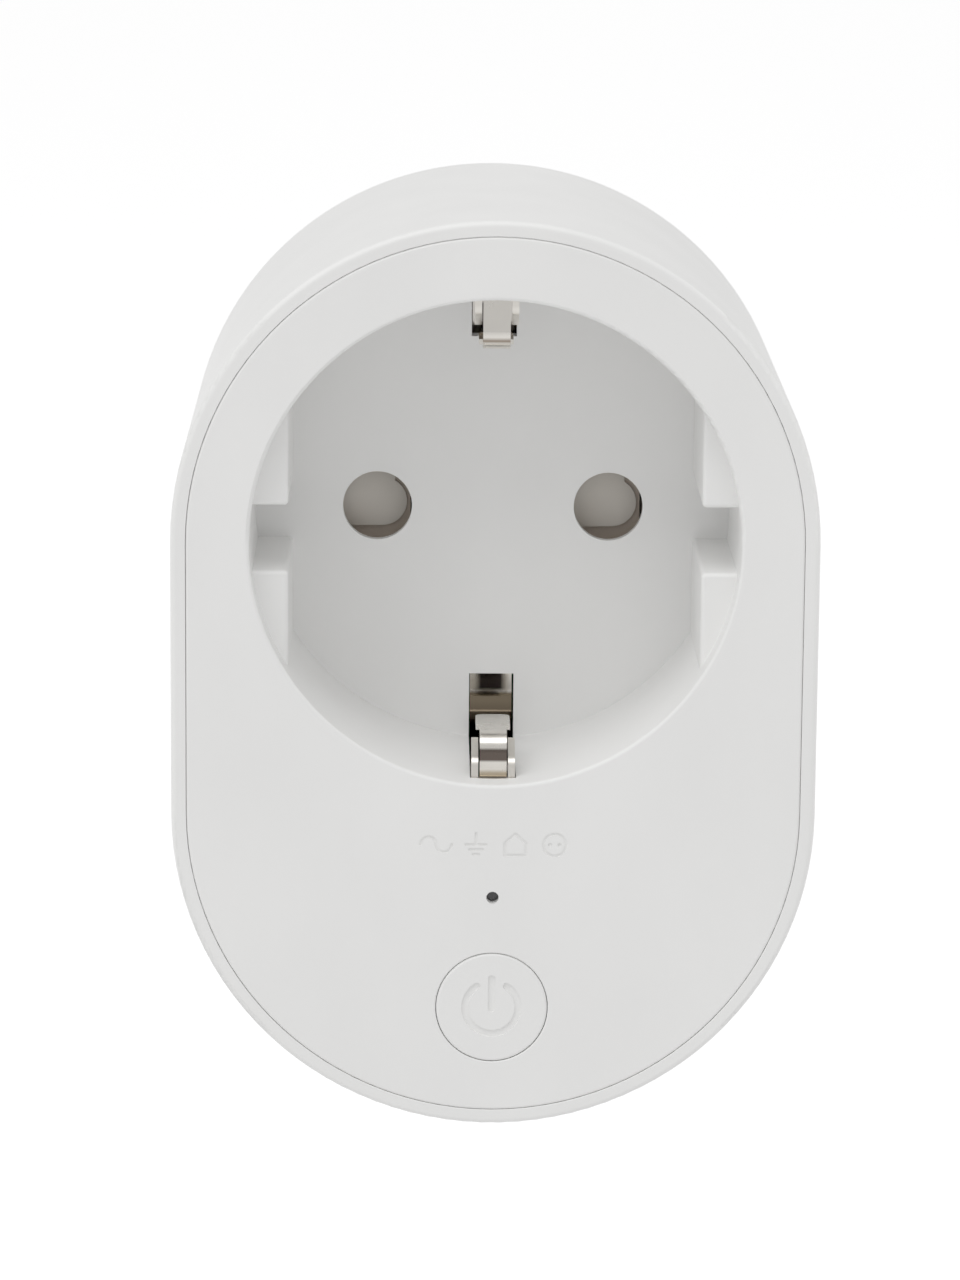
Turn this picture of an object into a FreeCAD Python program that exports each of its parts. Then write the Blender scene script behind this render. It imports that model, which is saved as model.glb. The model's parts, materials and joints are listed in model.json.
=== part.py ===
"""Earthed smart plug adapter: a racetrack-shaped body with a round appliance socket in front and a
round earthed plug behind, one power button and one status light below the socket.

Frame: X to the right, Y into the wall, Z up, in millimetres. The origin is the middle of the plug's
seating face, between its two pins. Along Y, sizes are given as a depth behind the front face.
Every function below makes one physical piece, and main() writes each to parts/NAME.step.
"""

import FreeCAD, Part

import math
import os

V = FreeCAD.Vector

# ---- driving dimensions -------------------------------------------------------------------------
PIN_PITCH = 19.0  # between the centres of the two line pins
PIN_R = 2.4  # line pin
PIN_ROOT_R = 2.7  # where it passes through the boss
PIN_LENGTH = 19.0
PIN_TIP_R = 1.4
WELL_R = 19.5  # appliance socket well
WELL_DEPTH = 17.5
BODY_R = 25.75  # radius of the racetrack's two ends
SPAN = 21.9  # between the centres of the two ends
BODY_DEPTH = 41.0
BOSS_R = 18.5  # plug boss that enters the wall socket
BOSS_LENGTH = 17.5

# ---- casing -------------------------------------------------------------------------------------
SEAT = BODY_DEPTH + BOSS_LENGTH  # depth of the origin
WALL = 2.0
INNER_R = BODY_R - WALL
PANEL_T = 2.0
PANEL_R = 24.52
REBATE_R = 24.545
FRONT_EDGE_R = 0.45
REAR_EDGE_R = 1.2
PANEL_EDGE_R = 0.22
REBATE_EDGE_R = 0.06
WELL_EDGE_R = 0.3
BOSS_EDGE_R = 1.0
OVERLAP = 0.5  # how far joined shapes run into each other
CUT = 1.0  # how far cutters run past a face
WELL_WALL = 1.6
FLOOR_T = 1.8
FLOOR_BACK = WELL_DEPTH + FLOOR_T
PIN_X = PIN_PITCH / 2
PIN_HOLE_R = 2.85
PIN_HOLE_LENGTH = 0.8  # behind it the hole widens
PIN_HOLE_BACK_R = 3.4
GUIDE_X = 16.45  # flat faces of the two guide blocks in the well
GUIDE_TOP = 2.6  # their depth below the front face
GUIDE_NOTCH = 2.65  # half the width of the notch through each
GUIDE_EDGE_R = 0.35
SLOT_X = 1.85  # half the width of the two earth slots
SLOT_IN = 14.1
SLOT_OUT = WELL_R + WELL_WALL + 0.2  # the slots pass right through the well's wall
SLOT_TOP = 2.4
HOOK_ANGLES = (50, 90, 130)  # snap hooks on the top arc, from +X
HOOK_NOSE = (6.1, 7.7)  # depths of the hooks' noses
HOOK_HALF = 2.0  # half a hook's width

# ---- button, light and engraved marks -----------------------------------------------------------
BUTTON_Z = -37.86
BUTTON_R = 4.475
BUTTON_HOLE_R = 4.53
BUTTON_EDGE_R = 0.2
BUTTON_HOLE_EDGE_R = 0.1
LIGHT_Z = -28.74
LIGHT_HOLE_R = 0.5
MARK_X = (-4.55, -1.35, 1.8, 4.95)
MARK_Z = -24.35
MARK_DEPTH = 0.1
MARK_W = 0.24

# ---- stations behind the well's floor -----------------------------------------------------------
SHUTTER_FRONT = FLOOR_BACK + 0.9
SHUTTER_BACK = 22.9
HOUSING_BACK = 24.2
STRAP_T = 0.55
STRAP_FRONT = HOUSING_BACK + 0.05
CARRIER_FRONT = STRAP_FRONT + STRAP_T + 0.05
CARRIER_BACK = 35.8
LINE_STRIP_T = 0.8
LINE_BEND_R = 0.9

# ---- boards -------------------------------------------------------------------------------------
CONTROL_FRONT = 8.6
CONTROL_T = 1.2
CONTROL_BACK = CONTROL_FRONT + CONTROL_T
MAIN_FRONT = 32.0
MAIN_T = 1.6
MAIN_BACK = MAIN_FRONT + MAIN_T
BOARD_R = 23.2
MAIN_TOP_Z = -7.6
LEAD_END = MAIN_BACK + 0.6  # where soldered leads end behind the main board
HEADER_Z = -24.8
HEADER_X = [2.54 * (i - 2.5) for i in range(6)]
HEADER_PIN = 0.32  # half the width of a header pin
RELAY_X = 14.25
RELAY_Z = (-39.5, -27.0)
RELAY_FRONT = 16.3
RELAY_BASE_FRONT = 30.5
RELAY_MID_Z = sum(RELAY_Z) / 2
RELAY_PIN_R = 0.5
RELAY_PINS = [(-10.5, -36.5), (-10.5, -30.0), (-2.5, RELAY_MID_Z)]

# ---- screws, as (x, z) --------------------------------------------------------------------------
CASE_POSTS = [(-17.5, -33.0), (17.5, -33.0)]
CONTROL_POSTS = [(-11.0, -26.5), (11.0, -26.5), (-9.5, -40.2), (9.5, -40.2)]
MAIN_POSTS = [(-18.5, -13.0), (18.5, -13.0), (0.0, -42.6)]
CARRIER_POSTS = [(sx * 7.0, sz * 9.3) for sx in (-1, 1) for sz in (-1, 1)]
CASE_POST_END = 30.0
CASE_SEAT = 33.4  # bearing face of the case screws' heads
CASE_TIP = 21.0  # depths of the screws' points
CONTROL_TIP = 4.6
MAIN_TIP = 36.6
CARRIER_TIP = 21.2
SCREW_GAP = 0.03
TIP_GAP = 0.4  # room beyond a screw's point
CASE_SCREW = (2.3, 1.0, 1.7)  # head radius, shank radius and head height
CONTROL_SCREW = (1.7, 0.75, 1.1)
MAIN_SCREW = (2.0, 0.95, 1.3)
CARRIER_SCREW = (1.9, 0.95, 1.3)
RETAINER_SCREW = (2.2, 0.95, 1.3)

# ---- earth and plug -----------------------------------------------------------------------------
STRAP_X = 1.75  # half the width of the earth straps
CLIP_LEG_R = 20.15  # centre line of the front strap's legs
CLIP_BEND_R = 3.75
CLIP_STEP = (9.6, 21.95)  # radius at which the strap steps forward, and to what depth
CLIP_END = 3.0
CLIP_WINDOW = (4.6, 17.2)
TONGUE_X = 1.08
TONGUE_T = 0.42
TONGUE_BEND_R = 1.2
TONGUE_HINGE = (2.95, 19.25)  # depth and radius of the tongue's root
TONGUE_NOSE = 2.75  # depth of its nose
TONGUE_R = {1: 15.35, -1: 16.1}  # radius from nose to free end, at the top clip and at the bottom one
PAD_X = 1.38  # half the width of the pad that the tongue ends in
PAD_D = (6.1, 10.0)
PAD_CORNER_R = 0.6
CHEEK_X = 1.2  # strips of the strap that stand on both sides of the tongue
CHEEK_PATH = ((2.84, 20.0), (3.0, 18.2), (5.6, 17.0))
CHEEK_BEND_R = 0.8
CHANNEL_X = 2.5  # half the width of the plug's earth channels
CHANNEL_R = 15.9
CHANNEL_FRONT = BODY_DEPTH + 1.5
PLUG_STRAP_FRONT = BODY_DEPTH + 2.2
PLUG_STRAP_T = 0.7
STRAP_GAP = 0.1  # round the strap where it passes through the boss
EARTH_HOLE_Z = 10.0
EARTH_HOLE_R = 2.85
SLEEVE_R = 3.1  # sleeves that grip the appliance's pins and the wall socket's earth pin
SLEEVE_BORE_R = 2.42
BOSS_FLAT_X = 16.0
BOSS_RIB = 2.4  # half the width of the guide ribs
BOSS_WALL = 2.5
BOSS_FLOOR = SEAT - BOSS_WALL
BOSS_CAVITY = (13.8, 13.2)  # half its width in x and z
BOSS_CAVITY_R = 16.3
COLLAR_T = 1.6
RETAINER_T = 2.0
RETAINER_BACK = BOSS_FLOOR - COLLAR_T
RETAINER_FRONT = RETAINER_BACK - RETAINER_T
RETAINER_TIP = BOSS_FLOOR + 1.2
TERMINAL_FRONT = BODY_DEPTH + 9.4
PIN_TAIL_R = 1.7  # riveted tail of a plug pin
STRIP_Z = -9.0  # where the line strips pass through the main board
STRIP_END = MAIN_FRONT - 0.8


# ---- basic shapes -------------------------------------------------------------------------------
def at(depth):
    """Y of a depth behind the front face."""
    return depth - SEAT


def box(x, z, d):
    """Block between the pairs of x, z and depth."""
    size = (x[1] - x[0], d[1] - d[0], z[1] - z[0])
    return Part.makeBox(*size, V(x[0], at(d[0]), z[0]))


def rod(r, d, x=0.0, z=0.0):
    """Cylinder along Y between two depths."""
    return Part.makeCylinder(r, d[1] - d[0], V(x, at(d[0]), z), V(0, 1, 0))


def tube(r_out, r_in, d, x=0.0, z=0.0):
    return rod(r_out, d, x, z).cut(rod(r_in, d, x, z))


def bar(r, x, z, depth):
    """Cylinder along X between a pair of x."""
    return Part.makeCylinder(r, x[1] - x[0], V(x[0], at(depth), z), V(1, 0, 0))


def union(shapes):
    first, *rest = shapes
    return first.fuse(rest).removeSplitter() if rest else first


def group(shapes):
    return Part.makeCompound(shapes)


def racetrack(r, d):
    """Prism of the body's outline at end radius r."""
    y = at(d[0])
    top = Part.Arc(V(r, y, 0), V(0, y, r), V(-r, y, 0)).toShape()
    left = Part.LineSegment(V(-r, y, 0), V(-r, y, -SPAN)).toShape()
    bottom = Part.Arc(V(-r, y, -SPAN), V(0, y, -SPAN - r), V(r, y, -SPAN)).toShape()
    right = Part.LineSegment(V(r, y, -SPAN), V(r, y, 0)).toShape()
    face = Part.Face(Part.Wire([top, left, bottom, right]))
    return face.extrude(V(0, d[1] - d[0], 0))


def prism(points, d):
    """Prism of an (x, z) outline."""
    wire = Part.makePolygon([V(x, at(d[0]), z) for x, z in points + points[:1]])
    return Part.Face(wire).extrude(V(0, d[1] - d[0], 0))


def round_edges(shape, radius, chosen):
    """The shape with the edges that chosen(edge) picks rounded."""
    edges = [e for e in shape.Edges if chosen(e)]
    return shape.makeFillet(radius, edges)


def lies_at(edge, depth):
    if edge.Degenerated:
        return False
    return all(abs(p.y - at(depth)) < 1e-4 for p in edge.discretize(5))


def is_round(edge, radius):
    """True for a circle or an arc of that radius."""
    return hasattr(edge.Curve, "Radius") and abs(edge.Curve.Radius - radius) < 1e-6


def reach(edge):
    """Least and greatest distance of an edge's points from the racetrack's spine."""
    ends = []
    for p in edge.discretize(5):
        spine_z = min(0.0, max(-SPAN, p.z))
        ends.append(math.hypot(p.x, p.z - spine_z))
    return min(ends), max(ends)


def bent_edges(points, bend_r, shift):
    """Edges of a path whose corners are bent to the radius bend_r, moved sideways by shift."""

    def across(run):
        return V(0, -run.z, run.y) * shift

    runs = [(q - p).normalize() for p, q in zip(points, points[1:])]
    reached = points[0] + across(runs[0])
    edges = []
    for corner, before, after in zip(points[1:], runs, runs[1:]):
        half_turn = before.getAngle(after) / 2
        back_off = bend_r * math.tan(half_turn)
        enter = corner - before * back_off + across(before)
        leave = corner + after * back_off + across(after)
        inward = (after - before).normalize()
        centre = corner + inward * (bend_r / math.cos(half_turn))
        middle = centre - inward * (enter - centre).Length
        edges += [Part.makeLine(reached, enter), Part.Arc(enter, middle, leave).toShape()]
        reached = leave
    edges.append(Part.makeLine(reached, points[-1] + across(runs[-1])))
    return edges


def bent_strip(path, thickness, bend_r, x):
    """Sheet-metal strip between a pair of x, along a path of (depth, z) points."""
    points = [V(x[0], at(d), z) for d, z in path]
    left, right = (bent_edges(points, bend_r, side * thickness / 2) for side in (-1, 1))
    caps = [Part.makeLine(left[i].Vertexes[i].Point, right[i].Vertexes[i].Point) for i in (0, -1)]
    face = Part.Face(Part.Wire(Part.__sortEdges__(left + right + caps)))
    return face.extrude(V(x[1] - x[0], 0, 0))


def coil(radius, wire_r, length, turns):
    """Round-wire spring along +Z from the origin."""
    pitch = length / turns
    path = Part.Wire(Part.makeHelix(pitch, length, radius).Edges)
    circle = Part.Wire(Part.makeCircle(wire_r, V(radius, 0, 0), V(0, 1, 0)))
    return path.makePipeShell([circle], True, True)


def screw(size, x, z, head, tip):
    """Pan-head screw along Y: head is the depth of the head's bearing face, tip of the point.
    The screw points towards the front where tip is less than head."""
    head_r, shank_r, head_t = size
    out = 1 if tip < head else -1
    outer = head + out * head_t
    cap = rod(head_r, sorted((head, outer)), x, z)
    cap = round_edges(cap, head_t * 0.35, lambda e: lies_at(e, outer))
    arm, half_width = head_r * 0.6, 0.22
    recess = sorted((outer, outer - out * head_t * 0.5))
    cross = [
        box((x - a, x + a), (z - b, z + b), recess)
        for a, b in ((arm, half_width), (half_width, arm))
    ]
    shank = rod(shank_r, sorted((head, tip)), x, z)
    return union([cap.cut(union(cross)), shank])


def shank_hole(size, span, x=0.0, z=0.0):
    """Cutter for a screw's hole, from its mouth to the screw's point and a little beyond."""
    mouth, tip = span
    end = tip + TIP_GAP if tip > mouth else tip - TIP_GAP
    return rod(size[1] + SCREW_GAP, sorted((mouth, end)), x, z)


def stroke(p, q, depth=MARK_DEPTH, width=MARK_W):
    """Cutter for an engraved line from p to q, as (x, z), with round ends."""
    run = V(q[0] - p[0], 0, q[1] - p[1])
    d = (-CUT, depth)
    ends = [rod(width / 2, d, *point) for point in (p, q)]
    side = V(-run.z, 0, run.x).normalize() * (width / 2)
    corners = [V(p[0], at(d[0]), p[1]) + side, V(q[0], at(d[0]), q[1]) + side]
    corners += [V(q[0], at(d[0]), q[1]) - side, V(p[0], at(d[0]), p[1]) - side]
    face = Part.Face(Part.makePolygon(corners + corners[:1]))
    return union([face.extrude(V(0, d[1] - d[0], 0))] + ends)


def arc_stroke(centre, r, a, depth=MARK_DEPTH, width=MARK_W):
    """Cutter for an engraved arc between the two angles a, in degrees from +X towards +Z."""
    d = (-CUT, depth)
    ring = tube(r + width / 2, r - width / 2, d, *centre)
    steps = 12
    angles = [math.radians(a[0] + (a[1] - a[0]) * i / steps) for i in range(steps + 1)]
    rim = [(centre[0] + 2 * r * math.cos(t), centre[1] + 2 * r * math.sin(t)) for t in angles]
    kept = ring.common(prism([tuple(centre)] + rim, d))
    ends = [
        rod(width / 2, d, centre[0] + r * math.cos(t), centre[1] + r * math.sin(t))
        for t in (angles[0], angles[-1])
    ]
    return union([kept] + ends)


# ---- casing -------------------------------------------------------------------------------------
def plug_boss():
    """Round boss of the plug with its guide flats, ribs and earth channels."""
    boss = rod(BOSS_R, (BODY_DEPTH - OVERLAP, SEAT))
    boss = round_edges(boss, BOSS_EDGE_R, lambda e: lies_at(e, SEAT))
    for side in (-1, 1):
        x = sorted((side * BOSS_FLAT_X, side * (BOSS_R + CUT)))
        for z in ((BOSS_RIB, BOSS_R), (-BOSS_R, -BOSS_RIB)):
            boss = boss.cut(box(x, z, (BODY_DEPTH, SEAT + CUT)))
        z = sorted((side * CHANNEL_R, side * (BOSS_R + CUT)))
        boss = boss.cut(box((-CHANNEL_X, CHANNEL_X), z, (CHANNEL_FRONT, SEAT + CUT)))
    return boss


def shell_outside():
    body = racetrack(BODY_R, (0, BODY_DEPTH))
    body = round_edges(body, FRONT_EDGE_R, lambda e: lies_at(e, 0))
    body = round_edges(body, REAR_EDGE_R, lambda e: lies_at(e, BODY_DEPTH))
    body = union([body, plug_boss()])
    body = body.cut(racetrack(REBATE_R, (-CUT, PANEL_T)))
    lip = lambda e: lies_at(e, 0) and abs(reach(e)[1] - REBATE_R) < 0.01
    return round_edges(body, REBATE_EDGE_R, lip)


def shell_inside():
    """Cutters for the hollow of the body and of the boss behind it."""
    inside = (PANEL_T - OVERLAP, BODY_DEPTH - WALL)
    boss_d = (BODY_DEPTH - WALL - OVERLAP, BOSS_FLOOR)
    cx, cz = BOSS_CAVITY
    in_boss = box((-cx, cx), (-cz, cz), boss_d).common(rod(BOSS_CAVITY_R, boss_d))
    return [racetrack(INNER_R, inside), in_boss]


def rear_shell():
    body = shell_outside().cut(union(shell_inside()))
    back = BODY_DEPTH - WALL
    case_post_r, board_post_r, retainer_post_r = 3.0, 2.2, 2.0
    adds = [rod(case_post_r, (CASE_POST_END, back + OVERLAP), x, z) for x, z in CASE_POSTS]
    adds += [rod(board_post_r, (MAIN_BACK, back + OVERLAP), x, z) for x, z in MAIN_POSTS]
    adds.append(rod(retainer_post_r, (RETAINER_BACK, BOSS_FLOOR + OVERLAP)))
    body = union([body] + adds)
    head_r, shank_r, _ = CASE_SCREW
    through, head_room = (CASE_POST_END - CUT, BODY_DEPTH + CUT), (CASE_SEAT, BODY_DEPTH + CUT)
    cuts = [rod(shank_r + 0.45, through, x, z) for x, z in CASE_POSTS]
    cuts += [rod(head_r + 0.3, head_room, x, z) for x, z in CASE_POSTS]
    main_d, retainer_d = (MAIN_BACK - CUT, MAIN_TIP), (RETAINER_BACK - CUT, RETAINER_TIP)
    cuts += [shank_hole(MAIN_SCREW, main_d, x, z) for x, z in MAIN_POSTS]
    cuts.append(shank_hole(RETAINER_SCREW, retainer_d))
    floor = (BOSS_FLOOR - CUT, SEAT + CUT)
    cuts += [rod(PIN_ROOT_R + 0.02, floor, s * PIN_X) for s in (-1, 1)]
    cuts.append(rod(EARTH_HOLE_R, floor, 0, EARTH_HOLE_Z))
    slot_x, slot_z = STRAP_X + STRAP_GAP, CHANNEL_R + OVERLAP
    slot = (PLUG_STRAP_FRONT - STRAP_GAP, PLUG_STRAP_FRONT + PLUG_STRAP_T + STRAP_GAP)
    cuts.append(box((-slot_x, slot_x), (-slot_z, slot_z), slot))
    catch, half = (HOOK_NOSE[0] - 0.2, HOOK_NOSE[1] + 0.2), HOOK_HALF + 0.3
    cuts += [hook_block(a, INNER_R - OVERLAP, INNER_R + 0.9, catch, half) for a in HOOK_ANGLES]
    return body.cut(union(cuts))


def hook_block(angle, r_in, r_out, d, half_width):
    """Block on the top arc, r_in to r_out from its centre, turned to an angle from +X."""
    block = box((r_in, r_out), (-half_width, half_width), d)
    block.rotate(V(0, 0, 0), V(0, -1, 0), angle)
    return block


def is_guide_corner(edge):
    """True for an edge that lies on two of a guide block's flat, its front end and its notch."""
    centre = edge.CenterOfMass
    on_flat = abs(abs(centre.x) - GUIDE_X) < 1e-3
    on_front = lies_at(edge, GUIDE_TOP)
    on_notch = abs(abs(centre.z) - GUIDE_NOTCH) < 1e-3
    return on_flat + on_front + on_notch >= 2


def guide_blocks():
    """The two blocks with flat faces that stand in the well, each with its notch."""
    blocks = []
    for side in (-1, 1):
        x = sorted((side * GUIDE_X, side * (WELL_R + CUT)))
        block = box(x, (-WELL_R, WELL_R), (GUIDE_TOP, FLOOR_BACK))
        notch = box((x[0] - CUT, x[1] + CUT), (-GUIDE_NOTCH, GUIDE_NOTCH), (0, WELL_DEPTH))
        block = round_edges(block.cut(notch), GUIDE_EDGE_R, is_guide_corner)
        blocks.append(block.common(rod(WELL_R + OVERLAP, (0, FLOOR_BACK))))
    return blocks


def wave_mark(x, z):
    """Alternating current: one full wave."""
    r = 0.62
    return [arc_stroke((x - r, z), r, (0, 180)), arc_stroke((x + r, z), r, (180, 360))]


def earth_mark(x, z):
    """Earth: a stem on three bars, each shorter than the one above."""
    step = 0.4
    strokes = [stroke((x, z + 0.9), (x, z))]
    for i, half in enumerate((0.8, 0.5, 0.2)):
        strokes.append(stroke((x - half, z - step * i), (x + half, z - step * i)))
    return strokes


def house_mark(x, z):
    """Indoor use: the outline of a house."""
    half, eaves, ridge = 0.85, 0.15, 0.9
    corners = [(x - half, z - half), (x - half, z + eaves), (x, z + ridge)]
    corners += [(x + half, z + eaves), (x + half, z - half)]
    return [stroke(p, q) for p, q in zip(corners, corners[1:] + corners[:1])]


def socket_mark(x, z):
    """Socket: a ring with two pin holes."""
    r, dot_r, dot_x, d = 0.9, 0.17, 0.38, (-CUT, MARK_DEPTH)
    dots = [rod(dot_r, d, x + s * dot_x, z) for s in (-1, 1)]
    return [tube(r + MARK_W / 2, r - MARK_W / 2, d, x, z)] + dots


def engraved_marks():
    """Cutters for the four plain pictograms in a row."""
    marks = (wave_mark, earth_mark, house_mark, socket_mark)
    return [cut for mark, x in zip(marks, MARK_X) for cut in mark(x, MARK_Z)]


def panel_outside():
    """Plate with the well, before the well's own blocks and slots."""
    plate = racetrack(PANEL_R, (0, PANEL_T))
    plate = round_edges(plate, PANEL_EDGE_R, lambda e: lies_at(e, 0))
    well = rod(WELL_R + WELL_WALL, (PANEL_T - OVERLAP, FLOOR_BACK))
    panel = union([plate, well]).cut(rod(WELL_R, (-CUT, WELL_DEPTH)))
    rim = lambda e: lies_at(e, 0) and abs(reach(e)[1] - WELL_R) < 0.01
    return round_edges(panel, WELL_EDGE_R, rim)


def panel_posts():
    """Screw posts, the ring round the button's flange and the snap hooks behind the plate."""
    plate, floor = PANEL_T - OVERLAP, FLOOR_BACK - OVERLAP
    adds = [rod(2.6, (plate, CASE_POST_END), x, z) for x, z in CASE_POSTS]
    adds += [rod(2.0, (plate, CONTROL_FRONT), x, z) for x, z in CONTROL_POSTS]
    adds += [rod(2.3, (floor, CARRIER_FRONT), x, z) for x, z in CARRIER_POSTS]
    adds.append(tube(6.8, 5.7, (plate, 4.2), 0, BUTTON_Z))
    for angle in HOOK_ANGLES:
        arm_r, nose_r = INNER_R - 0.25, INNER_R + 0.35
        arm_d = (plate, HOOK_NOSE[1] + 0.3)
        adds.append(hook_block(angle, arm_r - 1.3, arm_r, arm_d, HOOK_HALF))
        adds.append(hook_block(angle, arm_r - OVERLAP, nose_r, HOOK_NOSE, HOOK_HALF))
    return adds


def front_panel():
    panel = union([panel_outside()] + guide_blocks())
    panel = union([panel] + panel_posts())
    floor = (WELL_DEPTH - CUT, FLOOR_BACK + CUT)
    plate = (-CUT, PANEL_T + CUT)
    hole_back = (WELL_DEPTH + PIN_HOLE_LENGTH, FLOOR_BACK + CUT)
    cuts = [rod(PIN_HOLE_R, floor, s * PIN_X) for s in (-1, 1)]
    cuts += [rod(PIN_HOLE_BACK_R, hole_back, s * PIN_X) for s in (-1, 1)]
    for side in (-1, 1):
        z = sorted((side * SLOT_IN, side * SLOT_OUT))
        cuts.append(box((-SLOT_X, SLOT_X), z, (SLOT_TOP, FLOOR_BACK + CUT)))
    cuts.append(rod(BUTTON_HOLE_R, plate, 0, BUTTON_Z))
    cuts.append(rod(LIGHT_HOLE_R, plate, 0, LIGHT_Z))
    for size, posts, span in (
        (CASE_SCREW, CASE_POSTS, (CASE_POST_END + CUT, CASE_TIP)),
        (CONTROL_SCREW, CONTROL_POSTS, (CONTROL_FRONT + CUT, CONTROL_TIP)),
        (CARRIER_SCREW, CARRIER_POSTS, (CARRIER_FRONT + CUT, CARRIER_TIP)),
    ):
        cuts += [shank_hole(size, span, x, z) for x, z in posts]
    panel = panel.cut(union(cuts))
    rim = lambda e: lies_at(e, 0) and is_round(e, BUTTON_HOLE_R)
    panel = round_edges(panel, BUTTON_HOLE_EDGE_R, rim)
    return panel.cut(union(engraved_marks()))


def case_screws():
    return group([screw(CASE_SCREW, x, z, CASE_SEAT, CASE_TIP) for x, z in CASE_POSTS])


# ---- button, switch and light -------------------------------------------------------------------
STEM_END = 4.08
SWITCH_TOP = 5.2
PLUNGER_TOP = 4.3  # the stem meets the plunger after closing this gap
PLUNGER_R = 1.65
FLANGE = (PANEL_T + 0.05, 2.75)
FLANGE_R = 5.3
SPRING_R = 2.25
SPRING_WIRE_R = 0.16


def power_button():
    cap = rod(BUTTON_R, (0, FLANGE[0] + 0.2), 0, BUTTON_Z)
    cap = round_edges(cap, BUTTON_EDGE_R, lambda e: lies_at(e, 0))
    stem = rod(1.6, (FLANGE[1] - OVERLAP, STEM_END), 0, BUTTON_Z)
    cap = union([cap, rod(FLANGE_R, FLANGE, 0, BUTTON_Z), stem])
    ring_r, width, depth, open_angle = 2.15, 0.58, 0.16, 68
    sweep = (90 + open_angle / 2, 450 - open_angle / 2)
    ring = arc_stroke((0, BUTTON_Z), ring_r, sweep, depth, width)
    tick = stroke((0, BUTTON_Z + 2.4), (0, BUTTON_Z - 0.12), depth, width)
    return cap.cut(union([ring, tick]))


def button_spring():
    inset = SPRING_WIRE_R + 0.05
    spring = coil(SPRING_R, SPRING_WIRE_R, SWITCH_TOP - FLANGE[1] - 2 * inset, 2.5)
    spring.rotate(V(0, 0, 0), V(1, 0, 0), -90)
    spring.translate(V(0, at(FLANGE[1] + inset), BUTTON_Z))
    return spring


def tact_switch_body():
    half = 3.0
    d = (SWITCH_TOP, CONTROL_FRONT - 0.02)
    base = box((-half, half), (BUTTON_Z - half, BUTTON_Z + half), d)
    return base.cut(rod(PLUNGER_R + 0.1, (SWITCH_TOP - CUT, 7.4), 0, BUTTON_Z))


def tact_switch_plunger():
    top = rod(PLUNGER_R, (PLUNGER_TOP, 6.9), 0, BUTTON_Z)
    return round_edges(top, 0.2, lambda e: lies_at(e, PLUNGER_TOP))


def light_pipe():
    tip_front, stem_back = 0.9, 7.9
    tip = rod(LIGHT_HOLE_R - 0.03, (tip_front, FLANGE[0] + OVERLAP), 0, LIGHT_Z)
    flange = rod(1.5, (FLANGE[0], 3.0), 0, LIGHT_Z)
    return union([tip, flange, rod(0.9, (FLANGE[0] + OVERLAP, stem_back), 0, LIGHT_Z)])


def status_led():
    half_x, half_z = 0.8, 0.5
    d = (8.0, CONTROL_FRONT - 0.02)
    return box((-half_x, half_x), (LIGHT_Z - half_z, LIGHT_Z + half_z), d)


# ---- control board ------------------------------------------------------------------------------
def header_holes(d):
    side = HEADER_PIN + 0.08
    return [box((x - side, x + side), (HEADER_Z - side, HEADER_Z + side), d) for x in HEADER_X]


def control_board():
    d = (CONTROL_FRONT, CONTROL_BACK)
    board = racetrack(BOARD_R - 0.4, d).common(box((-13.6, 13.6), (-46, -23.2), d))
    deep = (d[0] - CUT, d[1] + CUT)
    cuts = [rod(CONTROL_SCREW[1] + 0.2, deep, x, z) for x, z in CONTROL_POSTS]
    return board.cut(union(cuts + header_holes(deep)))


def control_board_screws():
    posts = CONTROL_POSTS
    return group([screw(CONTROL_SCREW, x, z, CONTROL_BACK, CONTROL_TIP) for x, z in posts])


WIFI_X = (-8.5, 8.5)
WIFI_Z = (-37.5, -28.0)
WIFI_BACK = CONTROL_BACK + 0.8


def wifi_module():
    return box(WIFI_X, WIFI_Z, (CONTROL_BACK, WIFI_BACK))


def wifi_shield():
    """Pressed can over the module's chips, open towards the module."""
    margin, wall, height = 0.5, 0.2, 2.0
    x, z = (WIFI_X[0] + margin, 3.0), (WIFI_Z[0] + margin, WIFI_Z[1] - margin)
    can = box(x, z, (WIFI_BACK, WIFI_BACK + height))
    can = round_edges(can, 0.4, lambda e: lies_at(e, WIFI_BACK + height))
    inner_x, inner_z = (x[0] + wall, x[1] - wall), (z[0] + wall, z[1] - wall)
    return can.cut(box(inner_x, inner_z, (WIFI_BACK - CUT, WIFI_BACK + height - wall)))


def antenna_trace():
    """Meander of the module's printed antenna."""
    d = (WIFI_BACK, WIFI_BACK + 0.06)
    x, width, pitch, rungs = (3.8, 7.8), 0.5, 1.6, 5
    low = [WIFI_Z[0] + 0.7 + pitch * i for i in range(rungs)]
    parts = [box(x, (z, z + width), d) for z in low]
    for i, z in enumerate(low[:-1]):
        turn_x = (x[1] - width, x[1]) if i % 2 == 0 else (x[0], x[0] + width)
        parts.append(box(turn_x, (z, z + pitch + width), d))
    return union(parts)


def header_block():
    d, half_z = (CONTROL_BACK, CONTROL_BACK + 2.5), 1.25
    half_x = HEADER_X[-1] + half_z + 0.1
    block = box((-half_x, half_x), (HEADER_Z - half_z, HEADER_Z + half_z), d)
    return block.cut(union(header_holes((d[0] - CUT, d[1] + CUT))))


def header_pins():
    h = HEADER_PIN
    d = (CONTROL_FRONT - 0.5, LEAD_END)
    return group([box((x - h, x + h), (HEADER_Z - h, HEADER_Z + h), d) for x in HEADER_X])


# ---- main board and its components --------------------------------------------------------------
ON_BOARD = MAIN_FRONT - 0.05  # where components end in front of the main board
FIXED_LEG_X = (10.6, 11.4)  # leg of the relay's fixed contact, and half its width
FIXED_LEG_Z = 1.5


def leg_hole(d, gap):
    """Cutter round the leg of the relay's fixed contact."""
    half = FIXED_LEG_Z + gap
    x = (FIXED_LEG_X[0] - gap, FIXED_LEG_X[1] + gap)
    return box(x, (RELAY_MID_Z - half, RELAY_MID_Z + half), d)


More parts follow.
